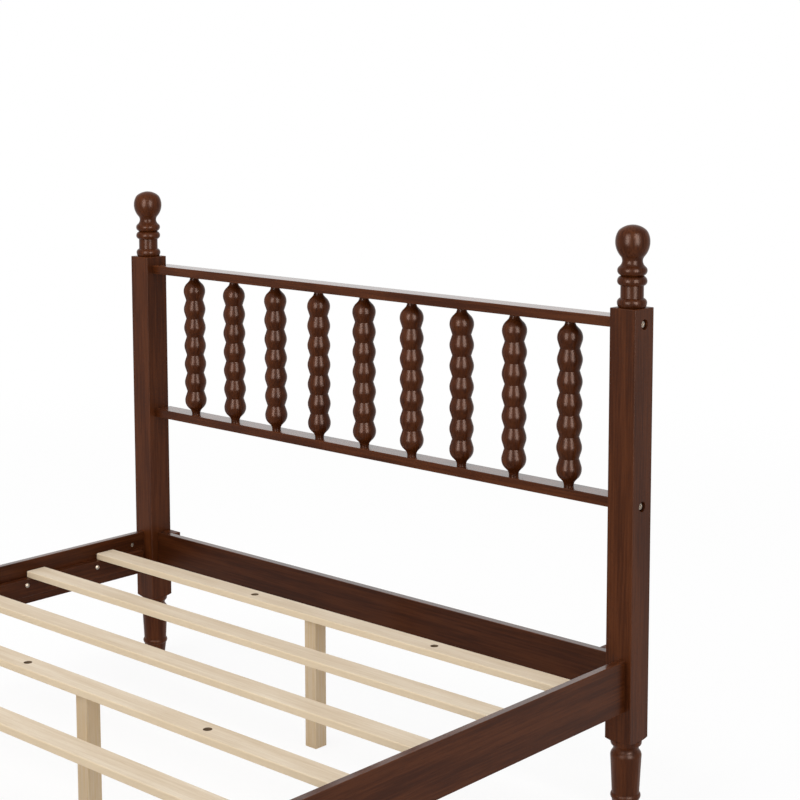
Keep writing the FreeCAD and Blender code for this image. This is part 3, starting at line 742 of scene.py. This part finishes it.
block_grids = []
for end, away in ENDS:
    for side, _ in SIDES:
        low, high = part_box(f"{end}_corner_block_{side}")
        face = high[1] if away > 0 else low[1]
        for height in (high[2] - BLOCK_SCREW_EDGE, low[2] + BLOCK_SCREW_EDGE):
            at = ((low[0] + high[0]) / 2, face, height)
            block_grids.append(cross_screw(at, (0, -away, 0), SCREW_REACH))


def steel_stand_in(name, grids, node):
    """Makes a group of fasteners in zinc plate and lets it stand for a CAD node."""
    stand_in(piece_from_grids(name, grids), node, zinc_plate)


steel_stand_in("cleat_cross_screws", cleat_grids, "cleat_screws")
steel_stand_in("block_cross_screws", block_grids, "corner_block_screws")

# %% [markdown]
# Socket head bolts
#
# The posts are bolted to the rails. Each bolt's head sits in a round sink, and a hex key turns it. The
# profile starts in the middle of the socket's floor; its first rows follow a hexagon, whose radius over
# the turn is the flat's distance divided by a cosine. The rim has a small bevel, and the side has fine
# ribs.

# %% The bolt's surface
BOLT_HEAD = 0.0065
BOLT_HEAD_HEIGHT = 0.0050
BOLT_BEVEL = 0.0006
BOLT_EASE = 0.0003
BOLT_RIM_DROP = 0.0001
BOLT_SHANK = 0.0030
TIP_LENGTH = 0.0015
TIP_SHARE = 0.6
SOCKET_FLAT = 0.0025
SOCKET_DEPTH = 0.0030
SOCKET_EASE = 0.0002
EASED_SHARE = 0.96
RIBS = 12
RIB_DEPTH = 0.00012


def socket_bolt(at, axis, reach):
    """A bolt with a six-sided socket: rows whose radius is flat / cosine of the turn from a side's middle,
    then a bevel, a head whose radius waves by the ribs' depth, a shank and a tapered tip."""
    hexagon = SOCKET_FLAT / np.cos((TURN + np.pi / 6) % (np.pi / 3) - np.pi / 6)
    ribbed = BOLT_HEAD - RIB_DEPTH * (1 + np.cos(RIBS * TURN))
    top = -BOLT_HEAD_HEIGHT
    floor = top + SOCKET_DEPTH
    bevel_start = BOLT_HEAD - BOLT_BEVEL
    rows = [
        (0, floor),
        (EASED_SHARE * hexagon, floor),
        (hexagon, floor - SOCKET_EASE),
        (hexagon, top + BOLT_EASE),
        (hexagon + BOLT_EASE, top),
        (bevel_start - BOLT_EASE, top),
        (bevel_start, top + BOLT_RIM_DROP),
        (ribbed, top + BOLT_BEVEL),
        (ribbed, -BOLT_EASE),
        (EASED_SHARE * BOLT_HEAD, 0),
        (BOLT_SHANK, 0),
        (BOLT_SHANK, reach - TIP_LENGTH),
        (TIP_SHARE * BOLT_SHANK, reach),
        (0, reach),
    ]
    radius = np.array([row_radius * EVERY_TURN for row_radius, _ in rows])
    depth = np.array([row_depth for _, row_depth in rows])[:, None]
    return turned_points(radius, depth, at, axis)


# %% [markdown]
# The bolts' places
#
# Two bolts go sideways through each head post into the headboard's rails. Two more go lengthways through
# all four posts into each end of a side rail, one above the other. Their seats are the floors of the
# sinks, so the depth of a sink is taken off the post's outer face.

# %% Put the bolts in the posts
POST_HALF = 0.0295
SINK_DEPTH = 0.009
HEAD_BOLT_REACH = 0.066
SIDE_BOLT_REACH = 0.095
SIDE_BOLT_EDGE = 0.0265


def side_bolt_heights(side):
    """The heights of the upper and the lower bolt in a side rail."""
    low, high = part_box(f"side_rail_{side}")
    return high[2] - SIDE_BOLT_EDGE, low[2] + SIDE_BOLT_EDGE


head_grids = []
side_grids = []
for side, outward in SIDES:
    post, _ = middle_of(f"head_post_{side}")
    seat = post[0] + outward * (POST_HALF - SINK_DEPTH)
    for rail in ("head_top_rail", "head_lower_rail"):
        at = (seat, post[1], middle_of(rail)[0][2])
        head_grids.append(socket_bolt(at, (-outward, 0, 0), HEAD_BOLT_REACH))
    for end, away in ENDS:
        post, _ = middle_of(f"{end}_post_{side}")
        seat = post[1] + away * (POST_HALF - SINK_DEPTH)
        for height in side_bolt_heights(side):
            at = (middle_of(f"side_rail_{side}")[0][0], seat, height)
            side_grids.append(socket_bolt(at, (0, -away, 0), SIDE_BOLT_REACH))

steel_stand_in("head_socket_bolts", head_grids, "head_rail_bolts")
steel_stand_in("side_socket_bolts", side_grids, "side_rail_bolts")

# %% [markdown]
# Barrel nuts
#
# Inside each end of a side rail two cross holes hold barrel nuts, and their slotted ends show in the
# holes. A nut is a short round bar with a bevelled rim and a slot for a screwdriver, which turns its
# thread towards the bolt. The slot is one narrow valley pressed into the end, made like the cross of the
# screws.

# %% The nut's surface and places
NUT_RADIUS = 0.0050
NUT_LENGTH = 0.0110
NUT_BEVEL = 0.0007
NUT_SETBACK = 0.035
NUT_END_ROWS = 22
SLOT_HALF = 0.0008
SLOT_WALL = 0.3
SLOT_DEPTH = 0.0018


def barrel_nut(at, axis):
    """A slotted bar: its end is flat, but lies deeper where radius times cosine of the turn is within the
    slot; then come a bevel, the round side and a plain far end."""
    end_radius = np.linspace(0, NUT_RADIUS - NUT_BEVEL, NUT_END_ROWS)[:, None]
    end_depth = SLOT_DEPTH * valley(np.abs(end_radius * np.cos(TURN)), SLOT_HALF, SLOT_WALL)
    side_radius = np.array([NUT_RADIUS, NUT_RADIUS, NUT_RADIUS - NUT_BEVEL, 0.0])[:, None]
    side_depth = np.array([NUT_BEVEL, NUT_LENGTH - NUT_BEVEL, NUT_LENGTH, NUT_LENGTH])[:, None]
    radius = np.concatenate([end_radius, side_radius])
    depth = np.concatenate([end_depth, side_depth * EVERY_TURN])
    return turned_points(radius, depth, at, axis)


nut_grids = []
for side, outward in SIDES:
    board, half = middle_of(f"side_rail_{side}")
    inner_end = board[0] - outward * NUT_LENGTH / 2
    for away in (-1, 1):
        along = board[1] + away * (half[1] - NUT_SETBACK)
        for height in side_bolt_heights(side):
            nut_grids.append(barrel_nut((inner_end, along, height), (outward, 0, 0)))

steel_stand_in("slotted_barrel_nuts", nut_grids, "side_rail_barrel_nuts")

# %% [markdown]
# The studio: floor and surroundings
#
# The bed is pictured on plain white. The floor gives off most of its white itself where the camera or a
# reflection looks at it, and the rest is ordinary matt paint, so the bed's soft shadow stays. Far from the
# bed all of it glows, so that no line shows where floor and room meet. The room around is white for the
# same two kinds of look and a calm grey where it lights the bed.

# %% The floor's shape and the mask for looks
FLOOR_REACH = 40.0
WHITE = (1.0, 1.0, 1.0)

floor_mesh = bpy.data.meshes.new("studio_floor")
corners = FLOOR_REACH * np.array([(-1, -1, 0), (1, -1, 0), (1, 1, 0), (-1, 1, 0)])
floor_mesh.from_pydata(corners.tolist(), [], [(0, 1, 2, 3)])
floor = bpy.data.objects.new("studio_floor", floor_mesh)
bpy.context.scene.collection.objects.link(floor)
print("the floor reaches", FLOOR_REACH, "metres each way")


def looked_at(wires):
    """Is 1 where the camera, a mirror or glass looks, and 0 where a surface only takes light from."""
    kinds = ("Camera", "Glossy", "Transmission")
    camera, mirror, glass = (wires.make("ShaderNodeLightPath", output=f"Is {kind} Ray") for kind in kinds)
    return camera.most(mirror).most(glass)


# %% White floor and white room
FLOOR_WHITE = (0.95, 0.95, 0.95)
FLOOR_GLOW = 0.86
ALL_GLOW_FROM = 2.4
ALL_GLOW_AT = 5.0
ROOM_LIGHT = 0.72

paint = bpy.data.materials.new("white_floor")
paint.use_nodes = True
paint.node_tree.nodes.clear()
wires = Wire(paint.node_tree)
matt = wires.make("ShaderNodeBsdfDiffuse", {"Color": (*FLOOR_WHITE, 1)})
glow = wires.make("ShaderNodeEmission", {"Color": (*WHITE, 1), "Strength": 1.0})
spot = wires.make("ShaderNodeTexCoord", output="Object")
from_bed = wires.vector("LENGTH", spot, output="Value")
share = FLOOR_GLOW + (1 - FLOOR_GLOW) * from_bed.fade(ALL_GLOW_FROM, ALL_GLOW_AT)
both = wires.make("ShaderNodeMixShader", {0: share * looked_at(wires), 1: matt, 2: glow})
output = paint.node_tree.nodes.new("ShaderNodeOutputMaterial")
paint.node_tree.links.new(both.socket, output.inputs["Surface"])
floor_mesh.materials.append(paint)

world = bpy.data.worlds.new("white_room")
bpy.context.scene.world = world
world.use_nodes = True
strength = looked_at(Wire(world.node_tree)) * (1 - ROOM_LIGHT) + ROOM_LIGHT
background = world.node_tree.nodes["Background"]
background.inputs["Color"].default_value = (*WHITE, 1)
world.node_tree.links.new(strength.socket, background.inputs["Strength"])
print("floor and room are white, room light", ROOM_LIGHT)

# %% [markdown]
# The lamps
#
# A soft box overhead and one at the front left light the bed. Two tall warm panels stand in front of it,
# left and right of the camera, and leave the two soft upright highlights on each bead. The panels are seen
# in reflections only, so the wood's own colour stays at a plain level. One pair of lamps for both jobs
# would either wash out the stain or lose the highlights.

# %% Soft boxes and panels
HEADBOARD = np.array((0.0, 0.98, 0.78))
WARM = (1.0, 0.86, 0.76)
SOFT_BOX = {"distance": 4.5, "radiance": 2.6, "colour": WHITE, "mirrored": False}
PANEL = {"distance": 4.2, "radiance": 26.0, "colour": WARM, "mirrored": True}
TOP_SIZE = (3.0, 3.0)
FRONT_SIZE = (2.5, 2.5)
PANEL_SIZE = (1.7, 3.6)


def soft_box(name, azimuth, elevation, size, distance, radiance, colour, mirrored):
    """Hangs a lamp at an angle round the headboard, with a power of radiance times pi times its area.
    A mirrored lamp shows in reflections only, and any other lights surfaces only."""
    width, height = size
    lamp = bpy.data.lights.new(name, "AREA")
    lamp.shape = "RECTANGLE"
    lamp.size = width
    lamp.size_y = height
    lamp.color = colour
    lamp.energy = radiance * math.pi * width * height
    turn, rise = math.radians(azimuth), math.radians(elevation)
    toward = np.array((math.sin(turn) * math.cos(rise), -math.cos(turn) * math.cos(rise), math.sin(rise)))
    lamp_object = bpy.data.objects.new(name, lamp)
    lamp_object.location = HEADBOARD + distance * toward
    lamp_object.rotation_euler = (math.pi / 2 - rise, 0, turn)
    lamp_object.visible_camera = False
    lamp_object.visible_diffuse = not mirrored
    lamp_object.visible_glossy = mirrored
    bpy.context.scene.collection.objects.link(lamp_object)
    print(name, "at", [round(number, 2) for number in lamp_object.location])


soft_box("top_box", azimuth=40, elevation=82, size=TOP_SIZE, **SOFT_BOX)
soft_box("front_box", azimuth=-15, elevation=40, size=FRONT_SIZE, **SOFT_BOX)
soft_box("left_panel", azimuth=10, elevation=16, size=PANEL_SIZE, **PANEL)
soft_box("right_panel", azimuth=70, elevation=16, size=PANEL_SIZE, **PANEL)

# %% [markdown]
# The camera
#
# The picture was taken from beyond the bed's front right corner, at 1.4 metres, looking a little down. The
# posts stay nearly upright in it, so part of the downward look comes from shifting the frame on the
# sensor, as with a view camera.

# %% Camera
CAMERA_PLACE = (2.56314, -1.70912, 1.41790)
LOOK_DOWN = 0.1122
TURN_LEFT = 0.7271
FOCAL_LENGTH = 78.581
SENSOR_WIDTH = 36.0
SHIFT_ACROSS = -0.0305
SHIFT_UP = -0.16
SEES_AS_FAR_AS = 200.0

lens = bpy.data.cameras.new("camera")
lens.sensor_fit = "HORIZONTAL"
lens.sensor_width = SENSOR_WIDTH
lens.lens = FOCAL_LENGTH
lens.shift_x = SHIFT_ACROSS
lens.shift_y = SHIFT_UP
lens.clip_end = SEES_AS_FAR_AS
camera = bpy.data.objects.new("camera", lens)
camera.location = CAMERA_PLACE
camera.rotation_euler = (math.pi / 2 - LOOK_DOWN, 0, TURN_LEFT)
bpy.context.scene.collection.objects.link(camera)
bpy.context.scene.camera = camera
bpy.context.scene.view_settings.view_transform = "Standard"
print("camera at", [round(number, 3) for number in camera.location])
